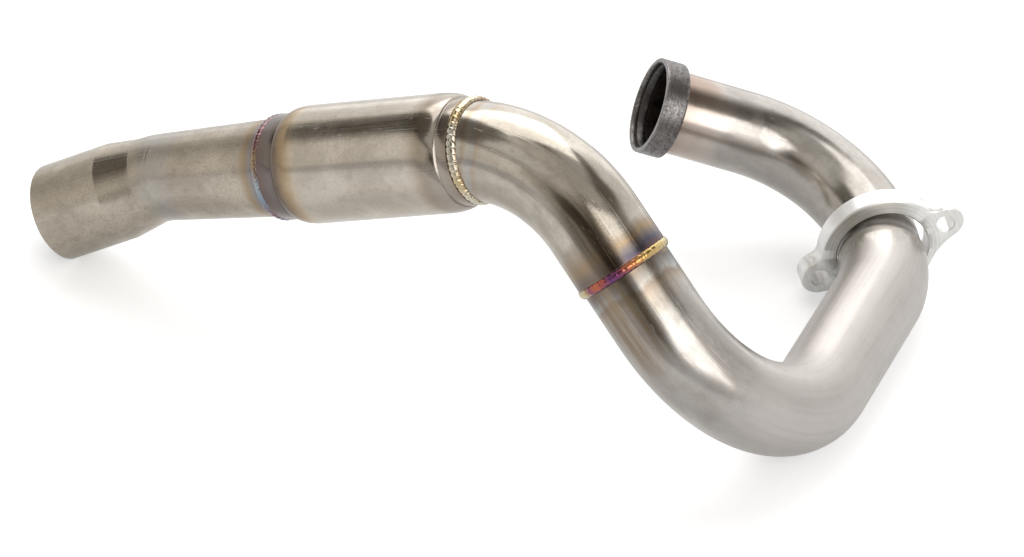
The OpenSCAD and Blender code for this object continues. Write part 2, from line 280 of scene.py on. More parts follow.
def startRing(bm, matrix, radius, run=0.0):
    ring = bmesh.ops.create_circle(bm, segments=meshing["sides"], radius=radius * mm, cap_ends=False)["verts"]
    space = bm.verts.layers.float_vector["pipeSpace"]
    for v in ring:
        v[space] = (v.co.x, v.co.y, run * mm)
    bmesh.ops.transform(bm, matrix=matrix, verts=ring)
    edges = list({e for v in ring for e in v.link_edges})
    return {"edges": edges, "at": matrix.copy(), "run": run, "radius": radius}


def nextRing(bm, head, matrix, radius, run):
    made = bmesh.ops.extrude_edge_only(bm, edges=head["edges"])["geom"]
    verts = [g for g in made if isinstance(g, bmesh.types.BMVert)]
    moved = matrix @ Matrix.Scale(radius / head["radius"], 4) @ head["at"].inverted()
    bmesh.ops.transform(bm, matrix=moved, verts=verts)
    space = bm.verts.layers.float_vector["pipeSpace"]
    for v in verts:
        v[space].z = run * mm
    ringVerts = set(verts)
    head["edges"] = [g for g in made if isinstance(g, bmesh.types.BMEdge)
                     and g.verts[0] in ringVerts and g.verts[1] in ringVerts]
    head["at"], head["radius"], head["run"] = matrix.copy(), radius, run


def runStraight(bm, head, length, radius=None, rings=1):
    start, startRadius, startRun = head["at"].copy(), head["radius"], head["run"]
    radius = radius or startRadius
    ease = meshing["edgeRing"]
    places = {k / rings for k in range(1, rings + 1)}
    if length > 4 * ease:  # a close ring at each end keeps the corner crisp
        places |= {ease / length, 1 - ease / length}
    for t in sorted(places):
        nextRing(bm, head, start @ along(length * t), startRadius + (radius - startRadius) * t, startRun + length * t)


def runBend(bm, head, bendRadius, angle, turn):
    start, radius, startRun = head["at"].copy(), head["radius"], head["run"]
    rings = round(angle / meshing["bendStep"])
    for k in range(1, rings + 1):  # the ring keeps its own seam, so only the path turns
        a = angle * k / rings
        path = spin(turn) @ around(bendRadius, a) @ spin(-turn)
        nextRing(bm, head, start @ path, radius, startRun + math.radians(a) * bendRadius)


def closeTube(bm, wall):
    bmesh.ops.recalc_face_normals(bm, faces=bm.faces)
    inner = bmesh.ops.solidify(bm, geom=bm.faces[:], thickness=wall * mm)["geom"]
    for g in inner:
        if isinstance(g, bmesh.types.BMFace):
            g.material_index = 1
    bmesh.ops.recalc_face_normals(bm, faces=bm.faces)
    corners = [e for e in bm.edges if len(e.link_faces) == 2 and e.calc_face_angle() > meshing["corner"]]
    bmesh.ops.bevel(bm, geom=corners, offset=meshing["rim"] * mm, affect="EDGES", segments=2, profile=0.5, material=-1)


def spinProfile(bm, profile, steps):
    verts = [bm.verts.new((r * mm, 0, z * mm)) for r, z in profile]
    edges = [bm.edges.new(pair) for pair in zip(verts, verts[1:] + verts[:1])]
    bmesh.ops.spin(bm, geom=verts + edges, cent=(0, 0, 0), axis=(0, 0, 1), angle=2 * math.pi, steps=steps,
                   use_merge=True)
    bmesh.ops.remove_doubles(bm, verts=bm.verts, dist=meshing["merge"] * mm)


def settle(bm, matrix):  # the shape's own place becomes its pattern space, then it goes where it belongs
    space = bm.verts.layers.float_vector["pipeSpace"]
    for v in bm.verts:
        v[space] = v.co
    bmesh.ops.transform(bm, matrix=matrix, verts=bm.verts)


def finishPiece(bm, name, materials, node, smooth=38):
    bmesh.ops.recalc_face_normals(bm, faces=bm.faces)
    made = bpy.data.meshes.new(name)
    bm.to_mesh(made)
    bm.free()
    for material in materials:
        made.materials.append(material)
    for face in made.polygons:
        face.use_smooth = True
    made.set_sharp_from_angle(angle=math.radians(smooth))
    piece = bpy.data.objects.new(name, made)
    bpy.context.scene.collection.objects.link(piece)
    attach(piece, "root")
    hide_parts(node)


print("tools ready")


# finishes

# patterns drawn out one way: scale, shift, detail and roughness
pattern = {
    "grain": ((2.2, 2.2, 0.03), (0, 0, 0), 3, 0.6), "drawn": ((0.5, 0.5, 0.009), (7, 3, 1), 3, 0.62),
    "blotch": ((0.05, 0.05, 0.03), (2, 5, 4), 4, 0.6), "scratch": ((0.8, 0.8, 0.012), (3, 1, 2), 2, 0.5),
    "nick": ((0.3, 1.3, 0.16), (9, 1, 2), 2, 0.5), "streak": ((0.4, 0.4, 0.02), (0, 0, 0), 3, 0.6),
    "turning": ((0.12, 0.12, 2.4), (0, 0, 0), 3, 0.6), "milled": ((0.3, 0.3, 3.0), (0, 0, 0), 3, 0.6),
}
# plain noises: scale, detail and roughness
noises = {
    "cloud": (0.17, 5, 0.68), "mottle": (0.9, 3, 0.7), "speck": (2.0, 3, 0.7), "soot": (0.22, 5, 0.7),
    "scale": (0.55, 6, 0.75), "grit": (1.3, 4, 0.75), "tarnish": (0.35, 3, 0.6), "drift": (0.22, 3, 0.6),
    "fine": (1.6, 3, 0.6), "cast": (0.16, 4, 0.6),
}
# where each mark begins to show and where it shows in full
shows = {
    "blotch": (0.38, 0.64), "drawn": (0.5, 0.7), "cloud": (0.48, 0.72), "mottle": (0.46, 0.66), "speck": (0.5, 0.68),
    "dull": (0.4, 0.7), "scratch": (0.64, 0.69), "nick": (0.69, 0.72), "streak": (0.42, 0.6), "stainAndDarkReflection": (0.2, 1.0),
    "tint": (0.6, 1.0), "tintEnd": (0.9, 1.0), "chatter": (0.5, 1.0), "soot": (0.4, 0.66), "sootStreak": (0.2, 0.6),
    "black": (0.44, 0.66), "rust": (0.35, 0.7), "turning": (0.4, 0.7), "rubbed": (0.3, 0.6), "beadSide": (0.55, 0.95),
    "beadSpeck": (0.5, 0.75), "lathe": (0.35, 0.65), "cast": (0.5, 0.75),
}
# how strong each relief is, and how deep in mm
relief = {
    "grain": (0.25, 0.03), "soot": (0.5, 0.1), "bead": (0.4, 0.05), "turning": (0.35, 0.06), "grit": (0.5, 0.06),
    "scale": (0.5, 0.16), "lathe": (0.16, 0.02), "milled": (0.4, 0.02), "cast": (0.15, 0.2),
}
# each tube sets how strong its scratches and dimples are, and how deep its rings and chatter are
depth = {"scratch": 0.04, "dimple": 0.25}
strength = {"ring": 0.5, "chatter": 0.8}


def addTint(f, p, z, cloud, colour, tint):  # a run of colours that starts at a weld
    swing = f.noise(f.scaled(p, (0.06, 0.06, 0.0), (tint["at"], 0, 0)), 1.0, 2, 0.5)
    near = (z - tint["at"]).size() / tint["reach"]
    wave = near + (swing - 0.5) * tint["swing"] + (cloud - 0.5) * 0.22
    shown = (1 - wave.step(*shows["tint"])) * (1 - near.step(*shows["tintEnd"])) * tint["strength"]
    return f.mix(shown, colour, f.ramp(wave.clamped(), tint["stops"]))


# a darker patch of colour, used for real stains and heat tint and also for painted dark reflections
def addStainAndDarkReflection(f, z, arc, drawn, mottle, colour, stainAndDarkReflection):  # a soft spot at a run and an angle
    far = ((z - stainAndDarkReflection["at"]) / stainAndDarkReflection["long"]) ** 2 + (arc / stainAndDarkReflection["wide"]) ** 2 + (mottle - 0.5) * 0.5
    streak = 1 - drawn.step(*shows["streak"]) * stainAndDarkReflection["streaks"]
    return f.mix((1 - far.step(*shows["stainAndDarkReflection"])) * streak * stainAndDarkReflection["strength"], colour, stainAndDarkReflection["colour"])


def steel(name, look):  # bare stainless tube, drawn and brushed along its length
    f = Finish(name)
    p = f.millimetres(look.get("objectSpace", False))
    x, y, z = f.split(p)
    grain, drawn, blotch = [f.grain(p, kind) for kind in ("grain", "drawn", "blotch")]
    cloud, mottle, speck = [f.haze(p, kind) for kind in ("cloud", "mottle", "speck")]
    spots = mottle.step(*shows["mottle"]) * 0.6 + speck.step(*shows["speck"]) * 0.6
    colour = f.mix(blotch.step(*shows["blotch"]), look["dark"], look["pale"])
    colour = f.mix(drawn.step(*shows["drawn"]) * look["drawn"], colour, look["warm"])
    colour = f.mix(cloud.step(*shows["cloud"]) * look["clouds"], colour, look["smudge"])
    colour = f.mix(spots * look["mottle"], colour, look["smudge"])
    rough = look["rough"] + (grain - 0.5) * 0.16 + (cloud - 0.5) * look["patchy"]
    if "satin" in look:  # a stretch that is duller than the rest
        satin = look["satin"]
        dull = f.band(z, satin["from"], satin["to"], satin["soft"])
        rough = rough + dull * satin["more"]
        colour = f.mix(dull * (0.85 - drawn.step(*shows["dull"]) * 0.35), colour, satin["colour"])
    for tint in look.get("tints", []):
        colour = addTint(f, p, z, cloud, colour, tint)
    # darker patches: some are real stains and heat tint, some are painted dark reflections
    for stainAndDarkReflection in look.get("stainsAndDarkReflections", []):
        arc = f.arc(x, y, stainAndDarkReflection["facing"], look["radius"])
        colour = addStainAndDarkReflection(f, z, arc, drawn, mottle, colour, stainAndDarkReflection)
    normal = f.emboss(grain, "grain")
    marks = f.grain(p, "scratch").step(*shows["scratch"]) + f.grain(p, "nick").step(*shows["nick"])
    normal = f.bump(marks * -1, look["scratched"], depth["scratch"] * mm, normal)
    normal = f.bump(cloud, look["dimpled"], depth["dimple"] * mm, normal)
    for ring in look.get("rings", []):  # a fine line drawn round the tube
        line = 1 - ((z + (blotch - 0.5) * 2 - ring["at"]).size() / ring["width"]).under(1.0)
        normal = f.bump(line, strength["ring"], ring["depth"] * mm, normal)
        colour = f.mix(line * ring["dark"], colour, look["smudge"])
    for marks in look.get("chatter", []):  # short ripples left by the bender
        arc = f.arc(x, y, marks["facing"], look["radius"])
        place = f.band(z, marks["from"], marks["to"], 2.0) * (1 - (arc / marks["wide"]).size().step(*shows["chatter"]))
        wave = (z * (2 * math.pi / marks["pitch"]) + arc * marks["slant"]).maths("SINE") * place
        normal = f.bump(wave, strength["chatter"], marks["depth"] * mm, normal)
        colour = f.mix(wave.clamped() * 0.2, colour, look["smudge"])
    return f.surface(Base_Color=colour, Metallic=1.0, Roughness=rough.clamped(), Normal=normal)


def soot(name, look):  # the inside of a tube
    f = Finish(name)
    p = f.millimetres()
    z = f.split(p)[2]
    cloud = f.haze(p, "soot")
    deep = (z - look["from"]).maths("MULTIPLY", look["fade"], clamp=True)
    colour = f.mix(cloud.step(*shows["soot"]), look["dark"], look["pale"])
    colour = f.mix(deep * f.grain(p, "streak").step(*shows["sootStreak"]), look["mouth"], colour)
    rough = 0.5 + (cloud - 0.5) * 0.3
    return f.surface(Base_Color=colour, Metallic=0.6, Roughness=rough, Normal=f.emboss(cloud, "soot"))


# heat tints, each a run of colours away from a weld
tints = {
    "collarGlow": [
        (0.0, (0.36, 0.24, 0.18)), (0.22, (0.54, 0.42, 0.35)), (0.6, (0.60, 0.51, 0.45)), (1.0, (0.60, 0.56, 0.52))],
    "lowWeld": [
        (0.0, (0.13, 0.09, 0.09)), (0.12, (0.30, 0.20, 0.11)), (0.26, (0.13, 0.11, 0.10)), (0.42, (0.26, 0.27, 0.28)),
        (0.54, (0.42, 0.44, 0.44)), (0.66, (0.30, 0.24, 0.21)), (0.82, (0.42, 0.34, 0.25)), (1.0, (0.46, 0.41, 0.34))],
    "midWeld": [
        (0.0, (0.13, 0.08, 0.09)), (0.16, (0.09, 0.085, 0.12)), (0.34, (0.20, 0.17, 0.16)), (0.52, (0.36, 0.26, 0.16)),
        (0.72, (0.38, 0.32, 0.25)), (1.0, (0.44, 0.39, 0.32))],
    "frontWeld": [
        (0.0, (0.34, 0.25, 0.16)), (0.18, (0.42, 0.40, 0.36)), (0.32, (0.34, 0.22, 0.12)), (0.44, (0.46, 0.44, 0.40)),
        (0.62, (0.38, 0.38, 0.38)), (0.74, (0.40, 0.27, 0.17)), (1.0, (0.50, 0.44, 0.36))],
    "neckFront": [
        (0.0, (0.24, 0.19, 0.15)), (0.3, (0.32, 0.29, 0.26)), (0.55, (0.27, 0.22, 0.17)), (0.8, (0.40, 0.33, 0.25)),
        (1.0, (0.46, 0.41, 0.34))],
    "neckRear": [
        (0.0, (0.13, 0.085, 0.08)), (0.2, (0.15, 0.13, 0.125)), (0.4, (0.12, 0.085, 0.06)), (0.62, (0.38, 0.27, 0.16)),
        (0.78, (0.54, 0.44, 0.31)), (1.0, (0.60, 0.54, 0.46))],
    "rearWeld": [
        (0.0, (0.16, 0.10, 0.13)), (0.2, (0.14, 0.14, 0.20)), (0.38, (0.26, 0.25, 0.26)), (0.56, (0.32, 0.25, 0.18)),
        (0.72, (0.38, 0.28, 0.18)), (1.0, (0.39, 0.34, 0.28))],
    "bendHaze": [(0.0, (0.36, 0.36, 0.37)), (0.6, (0.37, 0.36, 0.35)), (1.0, (0.38, 0.34, 0.29))],
}
sootLook = {
    "dark": (0.012, 0.009, 0.008), "pale": (0.045, 0.030, 0.024), "mouth": (0.05, 0.035, 0.03),
    "from": 0, "fade": 0.1,
}


# head pipe: collar, first bend, swage, tight bend, first weld

headPipe = {
    "radius": 19.8, "rough": 0.21, "patchy": 0.16, "drawn": 0.35, "clouds": 0.35, "mottle": 0.22, "scratched": 0.5,
    "dimpled": 0.10, "dark": (0.41, 0.385, 0.36), "pale": (0.52, 0.495, 0.465), "warm": (0.52, 0.475, 0.42),
    "smudge": (0.32, 0.29, 0.255),
    "satin": {"from": 160, "to": 330, "soft": 14, "more": 0.20, "colour": (0.57, 0.54, 0.52)},
    "tints": [{"at": 11.2, "reach": 26, "strength": 0.5, "stops": tints["collarGlow"], "swing": 0.7},
              {"at": 404.2, "reach": 20, "strength": 0.88, "stops": tints["lowWeld"], "swing": 0.45}],
    "rings": [{"at": 141.5, "width": 0.5, "depth": 0.05, "dark": 0.3},
              {"at": 148.6, "width": 0.7, "depth": 0.06, "dark": 0.3}],
    # the patch at run 386 is partly brown heat tint and partly a painted dark reflection
    "stainsAndDarkReflections": [{"at": 386, "facing": -80, "long": 30, "wide": 15, "strength": 0.75, "streaks": 0.6,
                "colour": (0.25, 0.18, 0.115)},
               {"at": 392, "facing": -35, "long": 16, "wide": 22, "strength": 0.5, "streaks": 0.5,
                "colour": (0.34, 0.27, 0.19)},
               {"at": 149, "facing": 4, "long": 1.6, "wide": 2.6, "strength": 0.6, "streaks": 0,
                "colour": (0.20, 0.16, 0.12)},
               {"at": 18, "facing": 40, "long": 12, "wide": 12, "strength": 0.45, "streaks": 0,
                "colour": (0.34, 0.23, 0.17)}],
    "chatter": [{"from": 43, "to": 50, "facing": 77, "wide": 7, "pitch": 1.1, "slant": 0.0, "depth": 0.025},
                {"from": 37, "to": 52, "facing": 107, "wide": 7, "pitch": 1.3, "slant": 2.6, "depth": 0.025}],
}


def makeHeadPipe():
    r = route
    bm = newMesh()
    head = startRing(bm, stations["mouth"] @ along(r["tubeSeat"]), r["headRadius"], r["tubeSeat"])
    runStraight(bm, head, r["headRun"] - r["tubeSeat"], rings=4)
    turned = r["bendOneTurn"]
    runBend(bm, head, r["bendOneRadius"], r["bendOneUp"], turned)
    runStraight(bm, head, r["swage"], r["lowRadius"], rings=4)
    runBend(bm, head, r["bendOneRadius"], r["bendOneDown"], turned)
    runStraight(bm, head, r["dropRun"], rings=8)
    runBend(bm, head, r["bendTwoRadius"], r["bendTwo"], turned + r["bendTwoTurn"])
    runStraight(bm, head, r["riseRun"] + r["slip"], rings=4)
    closeTube(bm, r["wall"])
    finishPiece(bm, "headPipe", [steel("headSteel", headPipe), soot("headSoot", sootLook)], "head_pipe")


# mid pipe: first weld to the chamber

midPipe = {
    "radius": 21.65, "rough": 0.17, "patchy": 0.14, "drawn": 0.4, "clouds": 0.4, "mottle": 0.3, "scratched": 0.5,
    "dimpled": 0.12, "dark": (0.44, 0.40, 0.345), "pale": (0.61, 0.57, 0.51), "warm": (0.56, 0.49, 0.40),
    "smudge": (0.34, 0.305, 0.26),
    "tints": [{"at": 0, "reach": 15, "strength": 0.95, "stops": tints["midWeld"], "swing": 0.5},
              {"at": 85.0, "reach": 14, "strength": 0.5, "stops": tints["frontWeld"], "swing": 0.5}],
    # the patch at run 15 is partly brown heat tint and partly a painted dark reflection
    "stainsAndDarkReflections": [{"at": 15, "facing": -158, "long": 26, "wide": 11, "strength": 0.85, "streaks": 0.3,
                "colour": (0.13, 0.10, 0.07)},
               {"at": 6, "facing": 165, "long": 14, "wide": 14, "strength": 0.5, "streaks": 0,
                "colour": (0.30, 0.23, 0.16)}],
}


def makeMidPipe():
    r = route
    bm = newMesh()
    head = startRing(bm, stations["midWeld"], r["midRadius"])
    runStraight(bm, head, r["midRun"], rings=3)
    runBend(bm, head, r["bendThreeRadius"], r["bendThree"], r["bendThreeTurn"])
    runStraight(bm, head, r["midStub"] + r["midLap"])
    closeTube(bm, r["wall"])
    finishPiece(bm, "midPipe", [steel("midSteel", midPipe), soot("midSoot", sootLook)], "mid_pipe")


# chamber: a shell with spun shoulders between two necks

chamber = {
    "radius": 25.9, "neck": 23.25, "length": 100, "frontNeck": 5.2, "rearNeck": 8, "frontShoulder": 10,
    "rearShoulder": 9, "wall": 1.1, "lead": 0.3, "curveRings": 10, "bodyRings": 8,
    "rough": 0.18, "patchy": 0.14, "drawn": 0.4, "clouds": 0.35, "mottle": 0.4, "scratched": 0.45, "dimpled": 0.08,
    "dark": (0.50, 0.455, 0.395), "pale": (0.64, 0.59, 0.525), "warm": (0.61, 0.53, 0.43),
    "smudge": (0.38, 0.33, 0.27),
    "tints": [{"at": 0, "reach": 22, "strength": 0.7, "stops": tints["neckFront"], "swing": 0.3},
              {"at": 100, "reach": 25, "strength": 0.9, "stops": tints["neckRear"], "swing": 0.25}],
}


def makeChamber():
    c = chamber
    bm = newMesh()
    start = stations["frontWeld"]
    head = startRing(bm, start, c["neck"])
    rearStart = c["length"] - c["rearNeck"]
    frontEnd, rearEnd = c["frontNeck"] + c["frontShoulder"], rearStart - c["rearShoulder"]
    turns = [math.pi / 2 * k / c["curveRings"] for k in range(c["curveRings"] + 1)]
    body = (rearEnd - frontEnd) / c["bodyRings"]
    places = [(c["frontNeck"] - c["lead"], 0)]  # the run, and the share of the rise from neck to body
    places += [(c["frontNeck"] + c["frontShoulder"] * (1 - math.cos(a)), math.sin(a)) for a in turns]
    places += [(frontEnd + body * k, 1) for k in range(1, c["bodyRings"])]
    places += [(rearEnd + c["rearShoulder"] * math.cos(a), math.sin(a)) for a in reversed(turns)]
    places += [(rearStart + c["lead"], 0), (c["length"], 0)]
    for z, share in places:
        nextRing(bm, head, start @ along(z), c["neck"] + (c["radius"] - c["neck"]) * share, z)
    closeTube(bm, c["wall"])
    finishPiece(bm, "chamberShell", [steel("chamberSteel", chamber), soot("chamberSoot", sootLook)],
                "chamber_shell")


# tail pipe: narrows, bends a little, and opens into the muffler socket

tailPipe = {
    "rough": 0.24, "patchy": 0.2, "drawn": 0.3, "clouds": 0.4, "mottle": 0.55, "scratched": 0.5, "dimpled": 0.12,
    "dark": (0.42, 0.375, 0.315), "pale": (0.55, 0.495, 0.42), "warm": (0.54, 0.465, 0.37),
    "smudge": (0.29, 0.255, 0.21),
    "tints": [{"at": 0, "reach": 13, "strength": 0.85, "stops": tints["rearWeld"], "swing": 0.35},
              {"at": 60, "reach": 12, "strength": 0.4, "stops": tints["bendHaze"], "swing": 0.3}],
    "rings": [{"at": 64.5, "width": 0.8, "depth": 0.06, "dark": 0.1},
              {"at": 74.3, "width": 0.9, "depth": 0.08, "dark": 0.15}],
}
tailSoot = {
    "dark": (0.020, 0.015, 0.012), "pale": (0.07, 0.05, 0.038), "mouth": (0.22, 0.18, 0.14),
    "from": 125, "fade": -0.05,
}


def makeTailPipe():
    r = route
    bm = newMesh()
    head = startRing(bm, stations["rearWeld"] @ along(-r["tailSlip"]), r["midRadius"], -r["tailSlip"])
    runStraight(bm, head, r["tailSlip"] + r["tailLead"], rings=2)
    runStraight(bm, head, r["tailRun"] - r["tailLead"], r["tailRadius"], rings=6)
    runBend(bm, head, r["bendFourRadius"], r["bendFour"], r["bendFourTurn"])
    runStraight(bm, head, r["tailStub"])
    runStraight(bm, head, r["socketCone"], r["socketRadius"], rings=3)
    runStraight(bm, head, r["socket"], rings=4)
    closeTube(bm, r["wall"])
    finishPiece(bm, "tailPipe", [steel("tailSteel", tailPipe), soot("tailSoot", tailSoot)], "tail_pipe")


makeHeadPipe()
makeMidPipe()
makeChamber()
makeTailPipe()
print("pipes and chamber made")


# port collar

collar = {
    "outer": 22.15, "long": 11.2, "recess": 20, "recessDeep": 2.6, "inner": 19.05, "throat": 17.95, "seat": 6.25,
    "land": 5.2, "lip": 0.45, "lipStep": 0.12, "breakEdge": 0.15, "backBevel": 1, "backMid": 0.5, "backStep": 0.14,
    "tubeGap": 0.05, "taper": 0.05, "chamfer": 0.1, "sideRings": 6, "steps": 160, "rough": 0.27,
    # the rough band at the outside: its width, how wild it is, and the scale and share of coarse and fine noise
    "band": 1.2, "rearWild": 0.22, "sideWild": 0.05, "coarse": (420, 0.7), "fine": (1100, 0.5),
    "dark": (0.06, 0.055, 0.054), "metal": (0.20, 0.197, 0.197), "worn": (0.32, 0.315, 0.315),
    "rust": (0.145, 0.115, 0.10),
}


def collarIron():
    c = collar
    f = Finish("collarIron")
    p = f.millimetres()
    x, y, z = f.split(p)
    out = (x * x + y * y) ** 0.5
    turning = f.grain(p, "turning")
    scale, grit = f.haze(p, "scale"), f.haze(p, "grit")
    black = scale.step(*shows["black"])
    colour = f.mix(grit.step(*shows["rust"]), c["metal"], c["rust"])
    colour = f.mix(turning.step(*shows["turning"]) * 0.5, colour, c["worn"])
    colour = f.mix(black * 0.75, colour, c["dark"])
    lip = f.band(out, c["recess"] + 0.5, c["outer"] + 0.45, 0.3) * (1 - z.step(0.1, 0.9))  # rubbed bright
    colour = f.mix(lip * grit.step(*shows["rubbed"]) * 0.9, colour, c["worn"])
    deep = (1 - out.step(c["recess"] - 0.1, c["recess"] + 0.6)) * z.step(0.8, 3.5)
    colour = f.mix(deep * 0.9, colour, c["dark"])
    rough = c["rough"] + black * 0.2 + (grit - 0.5) * 0.3
    normal = f.emboss(turning, "turning")
    normal = f.emboss(grit, "grit", normal)
    normal = f.emboss(scale, "scale", normal)
    return f.surface(Base_Color=colour, Metallic=1.0, Roughness=rough.clamped(), Normal=normal)


def makeCollar():
    c = collar
    bm = newMesh()
    out, long, recess, seat = c["outer"], c["long"], c["recess"], c["seat"]
    side = (long - c["lip"] - c["backBevel"]) / c["sideRings"]
    profile = [(recess, c["breakEdge"]), (recess + c["breakEdge"], 0), (out - c["lip"], 0),
               (out - c["lipStep"], c["lipStep"]), (out, c["lip"])]
    profile += [(out, c["lip"] + side * k) for k in range(1, c["sideRings"] + 1)]
    bore, deep = c["inner"] + c["tubeGap"], c["recessDeep"]
    profile += [(out - c["backStep"], long - c["backMid"]), (out - c["backMid"], long - c["backStep"]),
                (out - c["backBevel"], long), (bore, long), (bore, seat), (c["throat"], seat - c["taper"]),
                (c["throat"], c["land"]), (c["inner"], deep + c["chamfer"]), (c["inner"] + c["chamfer"], deep),
                (recess, deep)]
    spinProfile(bm, profile, c["steps"])
    for v in bm.verts:  # the rear edge is rough, the sides are nearly true
        far = math.hypot(v.co.x, v.co.y)
        if far > (out - c["band"]) * mm:
            wild = c["rearWild"] if v.co.z > (long - c["band"]) * mm else c["sideWild"]
            step = sum(noise.noise(v.co * scale) * share for scale, share in (c["coarse"], c["fine"]))
            pull = min(step, 0.0) * wild * mm
            v.co.x += v.co.x / far * pull
            v.co.y += v.co.y / far * pull
    settle(bm, stations["mouth"])
    finishPiece(bm, "portCollar", [collarIron()], "port_collar", 50)


# weld beads, each a row of ripples run round the pipe

ripple = {
    "arcSteps": 10, "turnSteps": 12, "sunk": 0.05, "rise": 0.74, "unevenScale": 9, "uneven": 0.35, "driftScale": 22,
    "speck": (0.24, 0.17, 0.12),
}
midBead = {
    "name": "midBead", "station": "midWeld", "circle": 19.6, "place": -1.6, "section": 2.6, "low": 20.5,
    "edge": -0.05, "facing": -146, "ripples": 44, "height": 0.20, "curl": 1.1, "wander": 0.22, "rough": 0.15,
    "stops": [
        (0.0, (0.52, 0.42, 0.24)), (0.22, (0.68, 0.64, 0.48)), (0.30, (0.66, 0.60, 0.42)), (0.33, (0.54, 0.40, 0.20)),
        (0.355, (0.24, 0.08, 0.16)), (0.385, (0.50, 0.15, 0.08)), (0.41, (0.42, 0.11, 0.08)),
        (0.44, (0.17, 0.06, 0.18)), (0.475, (0.21, 0.06, 0.15)), (0.51, (0.46, 0.15, 0.08)),
        (0.545, (0.52, 0.24, 0.09)), (0.58, (0.58, 0.39, 0.15)), (0.64, (0.66, 0.49, 0.22)),
        (0.70, (0.62, 0.54, 0.32)), (0.80, (0.54, 0.44, 0.27)), (1.0, (0.52, 0.42, 0.24))],
    "rimColour": (0.10, 0.08, 0.24), "rim": 0.85,
}
frontBead = {
    "name": "frontBead", "station": "frontWeld", "circle": 20.95, "place": -1.6, "section": 2.4, "low": 21.45,
    "edge": -0.05, "facing": 109, "ripples": 50, "height": 0.32, "curl": 1.0, "wander": 0.15, "rough": 0.13,
    "stops": [
        (0.0, (0.60, 0.52, 0.37)), (0.24, (0.68, 0.63, 0.52)), (0.34, (0.70, 0.64, 0.52)), (0.40, (0.60, 0.46, 0.25)),
        (0.44, (0.62, 0.57, 0.45)), (0.50, (0.55, 0.52, 0.44)), (0.57, (0.58, 0.55, 0.48)), (0.61, (0.62, 0.47, 0.24)),
        (0.66, (0.72, 0.63, 0.42)), (0.73, (0.70, 0.65, 0.54)), (0.77, (0.38, 0.28, 0.20)), (1.0, (0.60, 0.52, 0.37))],
    "rimColour": (0.30, 0.20, 0.12), "rim": 0.55,
}
rearBead = {
    "name": "rearBead", "station": "rearWeld", "circle": 20.95, "place": 1.6, "section": 2.4, "low": 21.7,
    "edge": 0.05, "facing": 109, "ripples": 46, "height": 0.22, "curl": -1.1, "wander": 0.2, "rough": 0.15,
    "stops": [
        (0.0, (0.22, 0.15, 0.17)), (0.26, (0.19, 0.19, 0.26)), (0.33, (0.25, 0.16, 0.18)), (0.39, (0.24, 0.29, 0.36)),
        (0.45, (0.36, 0.41, 0.45)), (0.49, (0.32, 0.23, 0.19)), (0.53, (0.36, 0.26, 0.17)), (0.58, (0.25, 0.13, 0.14)),
        (0.65, (0.21, 0.13, 0.15)), (0.72, (0.20, 0.16, 0.17)), (0.80, (0.16, 0.13, 0.14)), (1.0, (0.20, 0.15, 0.16))],
    "rimColour": (0.10, 0.09, 0.15), "rim": 0.85,
}


def beadMetal(look):
    f = Finish(look["name"] + "Metal")
    p = f.millimetres()
    x, y, z = f.split(p)
    cloud, drift, fine = [f.haze(p, kind) for kind in ("tarnish", "drift", "fine")]
    turned = f.turned(x, y, look["facing"]) + (drift - 0.5) * 0.05 + (cloud - 0.5) * 0.03
    colour = f.ramp(turned.clamped(), look["stops"])
    side = ((z - look["place"]) / look["section"]).size() + (cloud - 0.5) * 0.5
    colour = f.mix(side.step(*shows["beadSide"]) * look["rim"], colour, look["rimColour"])
    colour = f.mix(fine.step(*shows["beadSpeck"]) * 0.35, colour, ripple["speck"])
    rough = look["rough"] + (fine - 0.4) * 0.2
    return f.surface(Base_Color=colour, Metallic=1.0, Roughness=rough.clamped(), Normal=f.emboss(fine, "bead"))


def makeBead(look, node):
    r = ripple
    bm = newMesh()
    mid, place, size = look["circle"], look["place"], look["section"]
    lowAngle = math.asin((look["low"] - mid) / size)  # where the section leaves the tube
    edgeAngle = math.acos((look["edge"] - place) / size)  # where it meets the edge that it closes
    if place < 0:
        lowAngle = math.pi - lowAngle
    angles = [lowAngle + (edgeAngle - lowAngle) * k / r["arcSteps"] for k in range(r["arcSteps"] + 1)]
    arc = [(mid + size * math.sin(a), place + size * math.cos(a)) for a in angles]
    base = min(look["low"], arc[-1][0]) - r["sunk"]
    spinProfile(bm, arc + [(base, arc[-1][1]), (base, arc[0][1])], look["ripples"] * r["turnSteps"])
    for v in bm.verts:
        far, turned = math.hypot(v.co.x, v.co.y), math.atan2(v.co.y, v.co.x)
        outward, across = far / mm - mid, v.co.z / mm - place
        if abs(math.hypot(outward, across) - size) > 0.02 or far / mm < base + 0.1:
            continue  # only the arc is rippled
        share = across / size
        here = Vector((math.cos(turned), math.sin(turned), 0))
        uneven = noise.noise(here * r["unevenScale"]) * r["uneven"]
        drift = noise.noise((here + Vector((0, 0, 3))) * r["driftScale"])
        phase = look["ripples"] * turned / (2 * math.pi) + uneven * 0.8 + drift * 0.35
        phase += look["curl"] * share * share * 0.5
        t = phase % 1.0  # each ripple rises slowly and drops quickly
        t = t / r["rise"] if t < r["rise"] else (1 - t) / (1 - r["rise"])
        ridge = t * t * (3 - 2 * t) - 0.5
        lift = ridge * look["height"] * (1 + drift * 0.7) + uneven * look["wander"]
        v.co.x += v.co.x / far * outward / size * lift * mm
        v.co.y += v.co.y / far * outward / size * lift * mm
        v.co.z += share * lift * mm
    settle(bm, stations[look["station"]])
    finishPiece(bm, look["name"], [beadMetal(look)], node, 60)


makeCollar()
makeBead(midBead, "mid_weld")
makeBead(frontBead, "front_weld")
makeBead(rearBead, "rear_weld")
print("collar and beads made")


# flange: the machined plate, cut from the frame's own shape

plate = {
    "face": (0.84, 0.84, 0.82), "shade": (0.70, 0.695, 0.67), "wall": (0.93, 0.935, 0.94),
    "flat": (4.0, 4.6), "latheRings": 2.6, "rough": 0.30,
}


